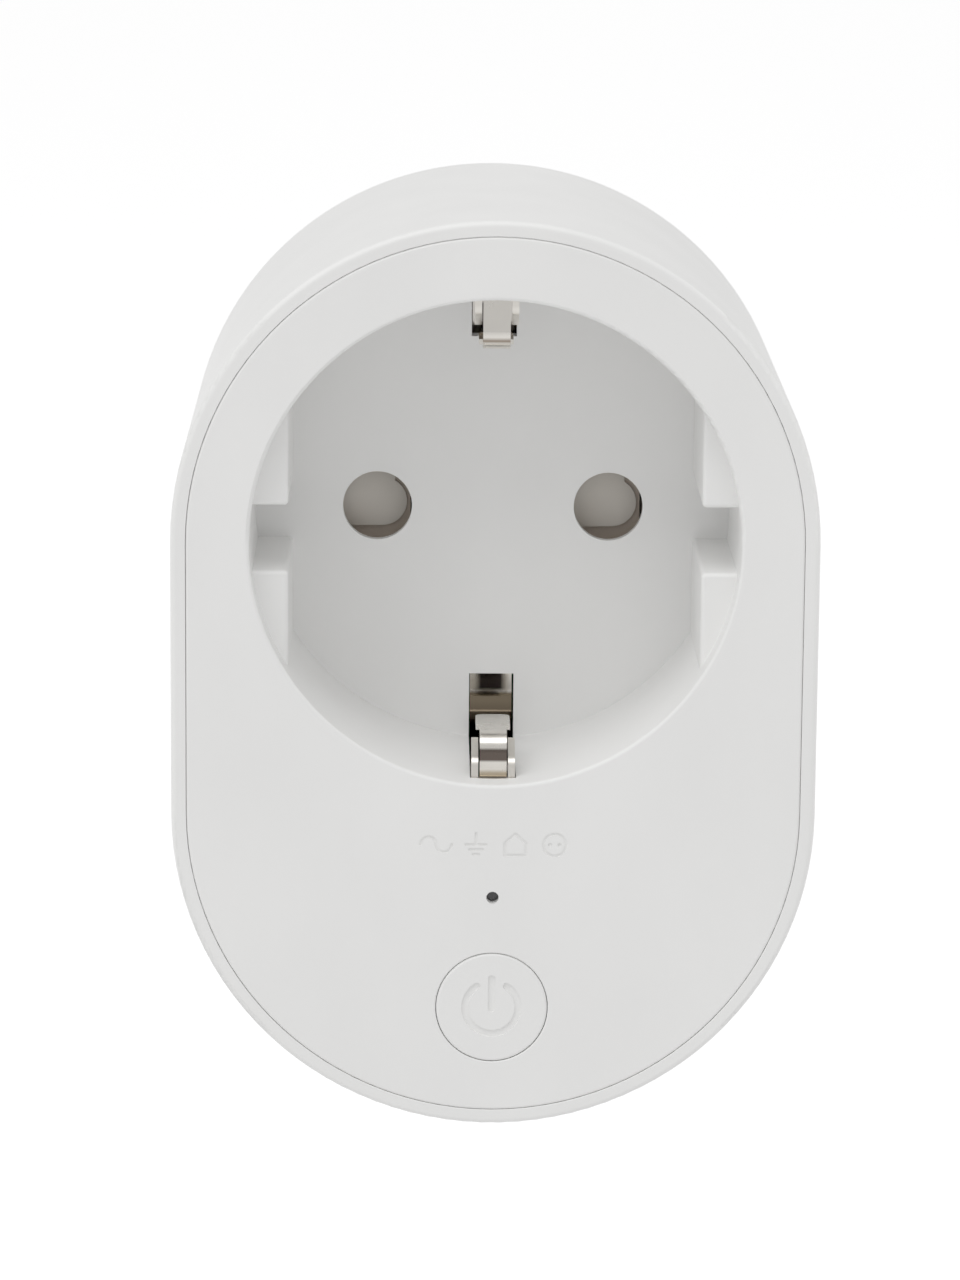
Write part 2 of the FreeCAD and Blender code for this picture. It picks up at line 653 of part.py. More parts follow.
def main_board():
    d = (MAIN_FRONT, MAIN_BACK)
    board = racetrack(BOARD_R, d).common(box((-BOARD_R, BOARD_R), (-60, MAIN_TOP_Z), d))
    deep = (d[0] - CUT, d[1] + CUT)
    cuts = [rod(3.3, deep, x, z) for x, z in CASE_POSTS]
    cuts += [rod(MAIN_SCREW[1] + 0.2, deep, x, z) for x, z in MAIN_POSTS]
    strip_z = (STRIP_Z - 0.5, STRIP_Z + 0.5)
    cuts += [box(sorted((s * 6.2, s * 13.2)), strip_z, deep) for s in (-1, 1)]
    cuts += [rod(RELAY_PIN_R + 0.1, deep, x, z) for x, z in RELAY_PINS]
    return board.cut(union(cuts + [leg_hole(deep, 0.2)] + header_holes(deep)))


def main_board_screws():
    return group([screw(MAIN_SCREW, x, z, MAIN_FRONT, MAIN_TIP) for x, z in MAIN_POSTS])


def relay_base():
    base = box((-RELAY_X, RELAY_X), RELAY_Z, (RELAY_BASE_FRONT, ON_BOARD))
    deep = (RELAY_BASE_FRONT - CUT, MAIN_FRONT + CUT)
    cuts = [rod(RELAY_PIN_R + 0.05, deep, x, z) for x, z in RELAY_PINS]
    return base.cut(union(cuts + [leg_hole(deep, 0.1)]))


def relay_cover():
    (z0, z1), wall = RELAY_Z, 0.8
    cover = box((-RELAY_X, RELAY_X), (z0, z1), (RELAY_FRONT, RELAY_BASE_FRONT))
    cover = round_edges(cover, 0.6, lambda e: lies_at(e, RELAY_FRONT))
    x = RELAY_X - wall
    inside = (RELAY_FRONT + wall, RELAY_BASE_FRONT + CUT)
    return cover.cut(box((-x, x), (z0 + wall, z1 - wall), inside))


COIL_DEPTH = 24.6
BOBBIN_X = (-12.4, -1.1)
BOBBIN_FLANGE = 0.7
BOBBIN_R = 2.2
CORE_R = 1.5
YOKE_TOP = (18.4, 19.4)  # depths of the yoke's upper arm
YOKE_LEG_X = (-13.3, -12.5)
CLAPPER_PIVOT = (0.0, 19.6)  # x and depth of the edge that the clapper rocks on
CONTACT_X = 9.3


def relay_bobbin():
    x0, x1 = BOBBIN_X
    flanges = ((x0, x0 + BOBBIN_FLANGE), (x1 - BOBBIN_FLANGE, x1))
    ends = [bar(4.8, x, RELAY_MID_Z, COIL_DEPTH) for x in flanges]
    spool = union([bar(BOBBIN_R, BOBBIN_X, RELAY_MID_Z, COIL_DEPTH)] + ends)
    return spool.cut(bar(CORE_R + 0.03, (x0 - CUT, x1 + CUT), RELAY_MID_Z, COIL_DEPTH))


def relay_coil():
    x = (BOBBIN_X[0] + BOBBIN_FLANGE + 0.05, BOBBIN_X[1] - BOBBIN_FLANGE - 0.05)
    hole = bar(BOBBIN_R + 0.03, (x[0] - CUT, x[1] + CUT), RELAY_MID_Z, COIL_DEPTH)
    return bar(4.3, x, RELAY_MID_Z, COIL_DEPTH).cut(hole)


def relay_yoke():
    z = (RELAY_MID_Z - 2.7, RELAY_MID_Z + 2.7)
    core = bar(CORE_R, (YOKE_LEG_X[1] - 0.2, -0.95), RELAY_MID_Z, COIL_DEPTH)
    leg = box(YOKE_LEG_X, z, (YOKE_TOP[0], 28.0))
    return union([core, leg, box((YOKE_LEG_X[0], -0.6), z, YOKE_TOP)])


def relay_armature():
    """Clapper plate with the round edge that it rocks on, the contact leaf and its rivet."""
    z = (RELAY_MID_Z - 2.55, RELAY_MID_Z + 2.55)
    x, depth = CLAPPER_PIVOT
    plate = box((x - 0.5, x + 0.6), z, (depth, 28.0))
    edge = Part.makeCylinder(0.15, z[1] - z[0], V(x, at(depth), z[0]), V(0, 0, 1))
    leaf_z = (RELAY_MID_Z - 1.8, RELAY_MID_Z + 1.8)
    leaf = box((x + 0.4, CONTACT_X + 1.3), leaf_z, (depth + 0.1, depth + 0.5))
    rivet = rod(1.3, (depth + 0.4, depth + 1.2), CONTACT_X, RELAY_MID_Z)
    return union([plate, edge, leaf, rivet])


def relay_fixed_contact():
    z = (RELAY_MID_Z - FIXED_LEG_Z, RELAY_MID_Z + FIXED_LEG_Z)
    shelf_d = (21.9, 22.6)
    shelf = box((CONTACT_X - 1.7, FIXED_LEG_X[1]), z, shelf_d)
    leg = box(FIXED_LEG_X, z, (shelf_d[0] + 0.1, LEAD_END))
    rivet = rod(1.4, (shelf_d[0] - 0.6, shelf_d[0] + 0.1), CONTACT_X, RELAY_MID_Z)
    return union([shelf, leg, rivet])


def relay_pins():
    return group([rod(RELAY_PIN_R, (RELAY_BASE_FRONT, LEAD_END), x, z) for x, z in RELAY_PINS])


def mains_fuse():
    """Cartridge fuse along Z with its two end caps."""
    x, z, length, cap_length = -19.3, -28.2, 9.2, 2.0
    body_r, cap_r = 1.75, 1.95

    def piece(r, start, end):
        place = V(x, at(ON_BOARD - cap_r - 0.1), z + start)
        return Part.makeCylinder(r, end - start, place, V(0, 0, 1))

    caps = [piece(cap_r, 0, cap_length), piece(cap_r, length - cap_length, length)]
    return union([piece(body_r, 0.4, length - 0.4)] + caps)


def varistor():
    """Disc varistor standing on its edge."""
    x, z, r, thickness = -12.8, -21.8, 4.0, 3.2
    disc = Part.makeCylinder(r, thickness, V(x, at(26.4), z), V(0, 0, 1))
    return round_edges(disc, 0.8, lambda e: is_round(e, r))


def film_capacitor():
    case = box((-16.2, -8.9), (-16.8, -11.9), (22.5, ON_BOARD))
    return round_edges(case, 0.5, lambda e: not lies_at(e, ON_BOARD))


def electrolytic_capacitor():
    """Can along Y with the crimp groove that holds its seal."""
    x, z, r, front = -5.3, -17.0, 3.15, 20.8
    can = rod(r, (front, ON_BOARD), x, z)
    can = round_edges(can, 0.5, lambda e: lies_at(e, front))
    groove = Part.makeTorus(r + 0.15, 0.4, V(x, at(29.8), z), V(0, 1, 0))
    return can.cut(groove)


TRANSFORMER = (9.7, -17.1)  # x and z of its middle
TRANSFORMER_HALF = (6.1, 4.9)  # half its core in x and z
TRANSFORMER_LEG_R = 2.5
WINDOW = (24.0, 30.0)


def transformer_winding():
    d = (WINDOW[0] + 0.2, WINDOW[1] - 0.2)
    return tube(4.4, TRANSFORMER_LEG_R + 0.05, d, *TRANSFORMER)


def transformer_core():
    """Closed core with a round middle leg."""
    (x, z), (half_x, half_z) = TRANSFORMER, TRANSFORMER_HALF
    core = box((x - half_x, x + half_x), (z - half_z, z + half_z), (22.2, ON_BOARD))
    side_x = half_x - 1.5
    gap = box((x - side_x, x + side_x), (z - half_z - CUT, z + half_z + CUT), WINDOW)
    leg = rod(TRANSFORMER_LEG_R, (WINDOW[0] - OVERLAP, WINDOW[1] + OVERLAP), x, z)
    return union([core.cut(gap), leg])


def filter_inductor():
    """Drum core along Y, wound between its two flanges."""
    x, z, front = 19.3, -23.6, 24.4
    ends = [rod(3.0, d, x, z) for d in ((front, front + 1.0), (30.6, ON_BOARD))]
    return union([rod(2.4, (front + OVERLAP, 31.0), x, z)] + ends)


# ---- socket mechanism ---------------------------------------------------------------------------
SPRING_POST = (-6.6, -5.6)  # x of the post that the shutter's spring stands on
SHUTTER_BAR = (4.4, 6.2)  # x of the shutter's bar that the spring pushes
SHUTTER_END = -14.4
SHUTTER_Z = 5.3
FINGER_R = 2.0  # round corner of a finger
FINGER_CORNER = (0.42, -0.19)  # middle of that corner, from the pin hole's
FINGER_SPAN = (-3.0, 1.42)  # x of its upper part, from the pin hole's middle
FINGER_TOP = 4.2
CARRIER_LUG = (CARRIER_FRONT, 27.5)
SLEEVE_END = 35.2
PIN_PASSAGE_R = PIN_HOLE_R + 0.05


def ramp(x, front):
    """Cutter for the slope that a pin pushes a shutter finger by."""
    low, high, drop, half_z = x - 2.9, x + 3.2, 0.5, 4.5
    outline = [(low, front), (high, front + drop), (high, front - CUT), (low, front - CUT)]
    points = [V(px, at(depth), -half_z) for px, depth in outline]
    return Part.Face(Part.makePolygon(points + points[:1])).extrude(V(0, 0, 2 * half_z))


def shutter():
    """Sliding child-safety shutter: a frame with a plate behind each pin hole, and a ramped finger
    on each plate."""
    plate_d = (SHUTTER_FRONT + 0.7, SHUTTER_BACK)
    finger_d = (SHUTTER_FRONT, SHUTTER_BACK)
    rail, bar_x, plate_x = 1.4, 1.6, (-3.6, 2.7)
    rail_x = (SHUTTER_END, SHUTTER_BAR[1])
    rails = [sorted((s * (SHUTTER_Z - rail), s * SHUTTER_Z)) for s in (-1, 1)]
    parts = [box(rail_x, z, finger_d) for z in rails]
    bars = ((SHUTTER_END, SHUTTER_END + bar_x), SHUTTER_BAR)
    parts += [box(x, (-SHUTTER_Z, SHUTTER_Z), finger_d) for x in bars]
    for side in (-1, 1):
        x = side * PIN_X
        parts.append(box((x + plate_x[0], x + plate_x[1]), (-SHUTTER_Z, SHUTTER_Z), plate_d))
        parts += shutter_finger(x, finger_d)
    return union(parts).cut([ramp(side * PIN_X, SHUTTER_FRONT) for side in (-1, 1)])


def shutter_finger(x, d):
    """Shapes of one finger: square above and to the left, round at its lower right corner."""
    left, right = (x + reach_x for reach_x in FINGER_SPAN)
    corner_x, corner_z = x + FINGER_CORNER[0], FINGER_CORNER[1]
    corner = rod(FINGER_R, d, corner_x, corner_z)
    upper = box((left, right), (corner_z, FINGER_TOP), d)
    lower = box((left, corner_x), (corner_z - FINGER_R, corner_z + OVERLAP), d)
    return [corner, upper, lower]


def shutter_spring():
    coil_r, wire_r, turns, gap, depth = 1.2, 0.17, 7, 0.2, 21.2
    start, end = SPRING_POST[1] + gap, SHUTTER_BAR[0] - gap
    spring = coil(coil_r, wire_r, end - start, turns)
    spring.rotate(V(0, 0, 0), V(0, 1, 0), 90)
    spring.translate(V(start, at(depth), 0))
    return spring


def shutter_housing():
    d = (FLOOR_BACK + 0.02, HOUSING_BACK)
    wall = 1.0
    x, z = (SHUTTER_END - 5.5, 13.6), SHUTTER_Z + 0.2
    block = box((x[0] - wall, x[1] + wall), (-z - wall, z + wall), d)
    block = block.cut(box(x, (-z, z), (d[0] - CUT, SHUTTER_BACK + 0.2)))
    post = box(SPRING_POST, (-1.6, 1.6), (FLOOR_BACK + 0.3, HOUSING_BACK - 0.7))
    holes = [rod(PIN_PASSAGE_R, (d[0] - CUT, d[1] + CUT), s * PIN_X) for s in (-1, 1)]
    return union([block, post]).cut(union(holes))


def contact_carrier():
    """Insulating block that holds the two line contacts."""
    d = (CARRIER_FRONT, CARRIER_BACK)
    block = box((-15, 15), (-6.5, 6.5), d)
    lug_r = 2.3
    for x, z in CARRIER_POSTS:
        arm = box((x - lug_r, x + lug_r), sorted((0, z)), CARRIER_LUG)
        block = union([block, rod(lug_r, CARRIER_LUG, x, z), arm])
    deep = (d[0] - CUT, d[1] + CUT)
    sleeve_room = (CARRIER_FRONT + 0.7, d[1] + CUT)
    tail_room = (34.2, d[1] + CUT)
    cuts = [rod(PIN_PASSAGE_R, deep, s * PIN_X) for s in (-1, 1)]
    cuts += [rod(SLEEVE_R + 0.4, sleeve_room, s * PIN_X) for s in (-1, 1)]
    cuts += [box(sorted((s * 6.2, s * 9.6)), (-7, 0), tail_room) for s in (-1, 1)]
    cuts += [rod(CARRIER_SCREW[1] + 0.15, deep, x, z) for x, z in CARRIER_POSTS]
    return block.cut(union(cuts))


def carrier_screws():
    posts = CARRIER_POSTS
    return group([screw(CARRIER_SCREW, x, z, CARRIER_LUG[1], CARRIER_TIP) for x, z in posts])


def line_contact(side):
    """Split sleeve that grips an appliance pin, with the strip that takes it to the main board."""
    x = side * PIN_X
    sleeve = tube(SLEEVE_R, SLEEVE_BORE_R, (CARRIER_FRONT + 0.9, SLEEVE_END), x)
    mouth = CARRIER_FRONT
    sleeve = sleeve.cut(box((x - 0.5, x + 0.5), (0, 4), (mouth, 33.6)))
    sleeve = sleeve.cut(box((x - 4, x + 4), (-0.35, 0.35), (mouth, 32.0)))
    tail_x = sorted((side * 6.5, side * 9.3))
    depth = SLEEVE_END - LINE_STRIP_T / 2
    path = [(depth, -2.7), (depth, STRIP_Z), (STRIP_END, STRIP_Z)]
    return union([sleeve, bent_strip(path, LINE_STRIP_T, LINE_BEND_R, tail_x)])


# ---- earth path ---------------------------------------------------------------------------------
def earth_strap():
    """One bent strip: across behind the shutter housing and forward along the well, top and bottom.
    Each leg has a window that its tongue can be pushed into, and ends in a lip with two cheeks."""
    base = STRAP_FRONT + STRAP_T / 2
    step_r, plate = CLIP_STEP
    halves = []
    for side in (-1, 1):
        leg = side * CLIP_LEG_R
        step = [(base, side * step_r), (plate, side * (step_r + base - plate))]
        path = [(base, 0)] + step + [(plate, leg), (CLIP_END, leg)]
        strip = bent_strip(path, STRAP_T, CLIP_BEND_R, (-STRAP_X, STRAP_X))
        lip_z = sorted((side * (TONGUE_HINGE[1] + 0.25), side * (CLIP_LEG_R + STRAP_T / 2)))
        lip = box((-STRAP_X, STRAP_X), lip_z, (CLIP_END - TONGUE_T, CLIP_END + 0.1))
        window_x = (-TONGUE_X - 0.15, TONGUE_X + 0.15)
        window = box(window_x, sorted((leg - CUT, leg + CUT)), CLIP_WINDOW)
        cheeks = [clip_cheek(side, edge) for edge in (-1, 1)]
        halves.append(union([strip.cut(window), lip] + cheeks))
    return union(halves)


def clip_cheek(side, edge):
    """Narrow strip beside a tongue, bent into the well from the strap's lip."""
    path = [(d, side * r) for d, r in CHEEK_PATH]
    return bent_strip(path, TONGUE_T, CHEEK_BEND_R, sorted((edge * CHEEK_X, edge * STRAP_X)))


def earth_tongue(side):
    """Spring tongue of an earth clip: from its round root round the nose to a pad at its free end."""
    pad_front, end = PAD_D
    level = TONGUE_R[side]
    path = [(d, side * r) for d, r in (TONGUE_HINGE, (TONGUE_NOSE, level), (end, level))]
    strip = bent_strip(path, TONGUE_T, TONGUE_BEND_R, (-PAD_X, PAD_X))
    z = sorted((0, side * WELL_R))
    for edge in (-1, 1):
        x = sorted((edge * TONGUE_X, edge * (PAD_X + CUT)))
        strip = strip.cut(box(x, z, (0, pad_front)))
    strip = round_edges(strip, PAD_CORNER_R, lambda e: lies_at(e, end) and is_corner(e))
    depth, r = TONGUE_HINGE
    return union([strip, bar(TONGUE_T / 2, (-TONGUE_X, TONGUE_X), side * r, depth)])


def is_corner(edge):
    return abs(edge.Length - TONGUE_T) < 1e-6


def earth_link():
    """Strip that joins the front earth strap to the plug's."""
    z = (7.0, 7.8)
    return box((-STRAP_X, STRAP_X), z, (STRAP_FRONT + STRAP_T, PLUG_STRAP_FRONT))


def plug_earth_strap():
    """U-shaped strip inside the boss whose legs lie in the two outer earth channels."""
    t = PLUG_STRAP_T
    base, leg = PLUG_STRAP_FRONT + t / 2, CHANNEL_R + t / 2
    halves = []
    for side in (-1, 1):
        path = [(base, 0), (base, side * leg), (SEAT - 1.2, side * leg)]
        halves.append(bent_strip(path, t, t / 2 + 0.05, (-STRAP_X, STRAP_X)))
    return union(halves)


def earth_pin_sleeve():
    """Split sleeve that takes an earth pin standing out of the wall socket."""
    z, end, half_slit, reach_out = EARTH_HOLE_Z, BOSS_FLOOR - 0.2, 0.3, SLEEVE_R + 0.5
    front = PLUG_STRAP_FRONT + PLUG_STRAP_T
    sleeve = rod(SLEEVE_R, (front, end), 0, z)
    sleeve = sleeve.cut(rod(SLEEVE_BORE_R, (front + 0.7, end + CUT), 0, z))
    slit = (front + 3.6, end + CUT)
    for a, b in ((half_slit, reach_out), (reach_out, half_slit)):
        sleeve = sleeve.cut(box((-a, a), (z - b, z + b), slit))
    return sleeve


# ---- plug ---------------------------------------------------------------------------------------
def plug_pin(side):
    """Line pin with its wider root in the boss, its collar and its riveted tail."""
    x, end, collar_r, tail_front = side * PIN_X, SEAT + PIN_LENGTH, 3.3, TERMINAL_FRONT - 1.0
    pin = rod(PIN_R, (SEAT - OVERLAP, end), x)
    pin = round_edges(pin, PIN_TIP_R, lambda e: lies_at(e, end))
    root = rod(PIN_ROOT_R, (BOSS_FLOOR - 0.2, SEAT), x)
    collar = rod(collar_r, (RETAINER_BACK, BOSS_FLOOR), x)
    return union([pin, root, collar, rod(PIN_TAIL_R, (tail_front, RETAINER_BACK + 0.2), x)])


def pin_retainer():
    """Plate that clamps both pins' collars to the floor of the boss."""
    d = (RETAINER_FRONT, RETAINER_BACK)
    plate = box((-13.2, 13.2), (-5.6, 5.6), d)
    plate = round_edges(plate, 1.0, lambda e: abs(e.Length - RETAINER_T) < 1e-6)
    deep = (d[0] - CUT, d[1] + CUT)
    cuts = [rod(PIN_TAIL_R + 0.05, deep, s * PIN_X) for s in (-1, 1)]
    return plate.cut(union(cuts + [rod(RETAINER_SCREW[1] + 0.2, deep)]))


def retainer_screw():
    return screw(RETAINER_SCREW, 0, 0, RETAINER_FRONT, RETAINER_TIP)


def line_busbar(side):
    """Strip from the tail of a plug pin to the main board."""
    d = (TERMINAL_FRONT, TERMINAL_FRONT + LINE_STRIP_T)
    depth, centre, eye_r = sum(d) / 2, side * PIN_X, 3.0
    x = sorted((side * 9.9, side * 12.9))
    path = [(depth, 1.6), (depth, STRIP_Z), (STRIP_END, STRIP_Z)]
    strip = bent_strip(path, LINE_STRIP_T, LINE_BEND_R, x)
    hole = rod(PIN_TAIL_R + 0.05, (d[0] - CUT, d[1] + CUT), centre)
    return union([strip, rod(eye_r, d, centre)]).cut(hole)


PARTS = {
    "rear_shell": rear_shell,
    "front_panel": front_panel,
    "case_screws": case_screws,
    "power_button": power_button,
    "button_spring": button_spring,
    "tact_switch_body": tact_switch_body,
    "tact_switch_plunger": tact_switch_plunger,
    "light_pipe": light_pipe,
    "status_led": status_led,
    "control_board": control_board,
    "control_board_screws": control_board_screws,
    "wifi_module": wifi_module,
    "wifi_shield": wifi_shield,
    "antenna_trace": antenna_trace,
    "header_block": header_block,
    "header_pins": header_pins,
    "main_board": main_board,
    "main_board_screws": main_board_screws,
    "relay_base": relay_base,
    "relay_cover": relay_cover,
    "relay_bobbin": relay_bobbin,
    "relay_coil": relay_coil,
    "relay_yoke": relay_yoke,
    "relay_armature": relay_armature,
    "relay_fixed_contact": relay_fixed_contact,
    "relay_pins": relay_pins,
    "mains_fuse": mains_fuse,
    "varistor": varistor,
    "film_capacitor": film_capacitor,
    "electrolytic_capacitor": electrolytic_capacitor,
    "transformer_core": transformer_core,
    "transformer_winding": transformer_winding,
    "filter_inductor": filter_inductor,
    "shutter": shutter,
    "shutter_spring": shutter_spring,
    "shutter_housing": shutter_housing,
    "contact_carrier": contact_carrier,
    "carrier_screws": carrier_screws,
    "live_socket_contact": lambda: line_contact(-1),
    "neutral_socket_contact": lambda: line_contact(1),
    "earth_strap": earth_strap,
    "earth_tongue_top": lambda: earth_tongue(1),
    "earth_tongue_bottom": lambda: earth_tongue(-1),
    "earth_link": earth_link,
    "plug_earth_strap": plug_earth_strap,
    "earth_pin_sleeve": earth_pin_sleeve,
    "live_plug_pin": lambda: plug_pin(-1),
    "neutral_plug_pin": lambda: plug_pin(1),
    "pin_retainer": pin_retainer,
    "retainer_screw": retainer_screw,
    "live_busbar": lambda: line_busbar(-1),
    "neutral_busbar": lambda: line_busbar(1),
}


def main():
    os.makedirs("parts", exist_ok=True)
    for name, make in PARTS.items():
        make().exportStep(f"parts/{name}.step")


if __name__ == "__main__":
    main()
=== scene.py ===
"""Looks of the earthed smart plug: finishes, springs, studio and camera.

Everything stands in the CAD frame, in metres: X to the right, Y into the wall, Z up.
Lengths written below are in millimetres and are scaled by MM where they meet Blender.
"""

import json
import math

import bpy
from mathutils import Matrix, Vector


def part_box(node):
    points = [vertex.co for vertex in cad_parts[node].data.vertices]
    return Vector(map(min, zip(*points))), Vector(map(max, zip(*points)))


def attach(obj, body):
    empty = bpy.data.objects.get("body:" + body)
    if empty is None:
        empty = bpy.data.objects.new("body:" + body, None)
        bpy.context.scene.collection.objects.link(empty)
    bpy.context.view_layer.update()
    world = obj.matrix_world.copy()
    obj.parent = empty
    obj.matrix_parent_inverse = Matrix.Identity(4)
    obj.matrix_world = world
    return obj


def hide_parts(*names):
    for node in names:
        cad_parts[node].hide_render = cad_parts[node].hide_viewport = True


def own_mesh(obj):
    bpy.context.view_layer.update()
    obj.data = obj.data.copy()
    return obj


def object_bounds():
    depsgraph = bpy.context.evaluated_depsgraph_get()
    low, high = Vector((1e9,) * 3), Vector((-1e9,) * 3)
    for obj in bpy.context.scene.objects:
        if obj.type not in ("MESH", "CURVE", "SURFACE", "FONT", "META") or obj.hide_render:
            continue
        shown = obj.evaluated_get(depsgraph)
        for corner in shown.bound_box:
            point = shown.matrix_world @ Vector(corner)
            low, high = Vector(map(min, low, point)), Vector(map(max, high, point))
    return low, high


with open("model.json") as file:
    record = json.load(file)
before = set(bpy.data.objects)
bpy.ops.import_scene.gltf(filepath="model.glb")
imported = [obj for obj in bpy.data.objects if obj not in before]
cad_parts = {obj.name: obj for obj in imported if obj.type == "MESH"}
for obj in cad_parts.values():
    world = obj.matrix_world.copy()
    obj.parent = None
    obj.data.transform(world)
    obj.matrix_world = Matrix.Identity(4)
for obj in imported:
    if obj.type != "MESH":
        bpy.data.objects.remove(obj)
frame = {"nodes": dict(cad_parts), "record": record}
cad_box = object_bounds()

MM = 0.001
NODES = frame["nodes"]


# ---- finishes -----------------------------------------------------------------------------------
class Finish:
    """One node-based material. Texture sizes are in millimetres, in object space."""

    def __init__(self, name, colour, roughness, metallic=0.0, **sockets):
        self.material = bpy.data.materials.new(name)
        self.material.use_nodes = True
        self.tree = self.material.node_tree
        self.shader = self.tree.nodes["Principled BSDF"]
        self.shader.inputs["Base Color"].default_value = (*colour, 1.0)
        self.shader.inputs["Roughness"].default_value = roughness
        self.shader.inputs["Metallic"].default_value = metallic
        for socket, value in sockets.items():
            self.shader.inputs[socket.replace("_", " ")].default_value = value
        self.place = self.node("ShaderNodeTexCoord").outputs["Object"]
        self.normal = None

    def node(self, kind, **settings):
        node = self.tree.nodes.new(kind)
        for name, value in settings.items():
            setattr(node, name, value)
        return node

    def link(self, source, target):
        self.tree.links.new(source, target)

    def scaled(self, size):
        """Object coordinates in units of size, which is one length or one for each axis."""
        sizes = size if isinstance(size, tuple) else (size, size, size)
        mapping = self.node("ShaderNodeMapping")
        mapping.inputs["Scale"].default_value = [1 / (s * MM) for s in sizes]
        self.link(self.place, mapping.inputs["Vector"])
        return mapping.outputs["Vector"]

    def noise(self, size, detail=2.0):
        noise = self.node("ShaderNodeTexNoise")
        noise.inputs["Scale"].default_value = 1.0
        noise.inputs["Detail"].default_value = detail
        self.link(self.scaled(size), noise.inputs["Vector"])
        return noise.outputs["Fac"]

    def cells(self, size):
        cells = self.node("ShaderNodeTexVoronoi")
        cells.inputs["Scale"].default_value = 1.0
        self.link(self.scaled(size), cells.inputs["Vector"])
        return cells.outputs["Distance"]

    def stretched(self, value, low, high, start=0.3, end=0.7):
        """value, which runs from start to end, as a number from low to high."""
        span = self.node("ShaderNodeMapRange")
        span.inputs["From Min"].default_value = start
        span.inputs["From Max"].default_value = end
        span.inputs["To Min"].default_value = low
        span.inputs["To Max"].default_value = high
        self.link(value, span.inputs["Value"])
        return span.outputs["Result"]

    def roughness(self, value, low, high):
        self.link(self.stretched(value, low, high), self.shader.inputs["Roughness"])
        return self

    def colours(self, value, first, second):
        """Base colour from first to second as value goes from 0 to 1."""
        mix = self.node("ShaderNodeMix", data_type="RGBA")
        mix.inputs[6].default_value = (*first, 1.0)
        mix.inputs[7].default_value = (*second, 1.0)
        self.link(value, mix.inputs["Factor"])
        self.link(mix.outputs[2], self.shader.inputs["Base Color"])
        return self

    def overlay(self, value, colour):
        """Another base colour where value is 1, over the colours set so far."""
        mix = self.node("ShaderNodeMix", data_type="RGBA")
        self.link(self.shader.inputs["Base Color"].links[0].from_socket, mix.inputs[6])
        mix.inputs[7].default_value = (*colour, 1.0)
        self.link(value, mix.inputs["Factor"])
        self.link(mix.outputs[2], self.shader.inputs["Base Color"])
        return self

    def relief(self, value, depth, strength=1.0):
        """Adds relief that is depth millimetres high where value is 1."""
        bump = self.node("ShaderNodeBump")
        bump.inputs["Distance"].default_value = depth * MM
        bump.inputs["Strength"].default_value = strength
        self.link(value, bump.inputs["Height"])
        if self.normal is not None:
            self.link(self.normal, bump.inputs["Normal"])
        self.normal = bump.outputs["Normal"]
        self.link(self.normal, self.shader.inputs["Normal"])
        return self

    def product(self, first, second):
        both = self.node("ShaderNodeMath", operation="MULTIPLY")
        self.link(first, both.inputs[0])
        self.link(second, both.inputs[1])
        return both.outputs[0]

    def zone(self, axis, low, high):
        """1 between two places along X, Y or Z, given in millimetres, and 0 outside."""
        split = self.node("ShaderNodeSeparateXYZ")
        self.link(self.place, split.inputs["Vector"])
        steps = []
        for operation, edge in (("GREATER_THAN", low), ("LESS_THAN", high)):
            step = self.node("ShaderNodeMath", operation=operation)
            self.link(split.outputs[axis], step.inputs[0])
            step.inputs[1].default_value = edge * MM
            steps.append(step.outputs[0])
        return self.product(*steps)

    def band(self, axis, low, high, blur):
        """1 between two places along an axis, fading to 0 over blur, all in millimetres."""
        split = self.node("ShaderNodeSeparateXYZ")
        self.link(self.place, split.inputs["Vector"])
        along = split.outputs[axis]
        rise = self.stretched(along, 0.0, 1.0, (low - blur) * MM, (low + blur) * MM)
        fall = self.stretched(along, 1.0, 0.0, (high - blur) * MM, (high + blur) * MM)
        return self.product(rise, fall)


def tinted(colour, factor):
    return tuple(min(1.0, c * factor) for c in colour)


def moulded(name, colour, roughness, grain=0.16, grain_depth=0.0035, **sockets):
    """Moulded plastic: a spark-eroded grain, faint flow marks and a slight change of colour."""
    finish = Finish(name, colour, roughness, **sockets)
    flow = finish.noise((9.0, 9.0, 16.0), detail=3.0)
    finish.colours(finish.stretched(flow, 0.0, 1.0), tinted(colour, 0.985), tinted(colour, 1.012))
    finish.roughness(finish.noise(2.4, detail=3.0), roughness - 0.03, roughness + 0.05)
    finish.relief(finish.noise(grain, detail=2.0), grain_depth)
    return finish


def rolled(name, colour, roughness, along=1):
    """Stamped sheet metal with the fine lines of rolling along one axis."""
    finish = Finish(name, colour, roughness, metallic=1.0)
    size = tuple(6.0 if axis == along else 0.09 for axis in range(3))
    finish.roughness(finish.noise(1.6, detail=3.0), roughness - 0.05, roughness + 0.07)
    finish.colours(finish.noise(2.2), tinted(colour, 0.93), tinted(colour, 1.04))
    finish.relief(finish.noise(size, detail=2.0), 0.0012)
    return finish


def turned(name, colour, roughness):
    """Turned or drawn metal with fine rings round the Y axis."""
    finish = Finish(name, colour, roughness, metallic=1.0)
    finish.roughness(finish.noise(1.2, detail=2.0), roughness - 0.05, roughness + 0.06)
    finish.colours(finish.noise(3.0), tinted(colour, 0.94), tinted(colour, 1.03))
    finish.relief(finish.noise((9.0, 0.07, 9.0), detail=1.0), 0.0010)
    return finish


WHITE = (0.92, 0.918, 0.907)
NICKEL = (0.87, 0.835, 0.775)
BRONZE = (0.70, 0.48, 0.27)
ZINC = (0.62, 0.63, 0.64)
COPPER = (0.62, 0.27, 0.12)
BOARD = (0.02, 0.13, 0.05)


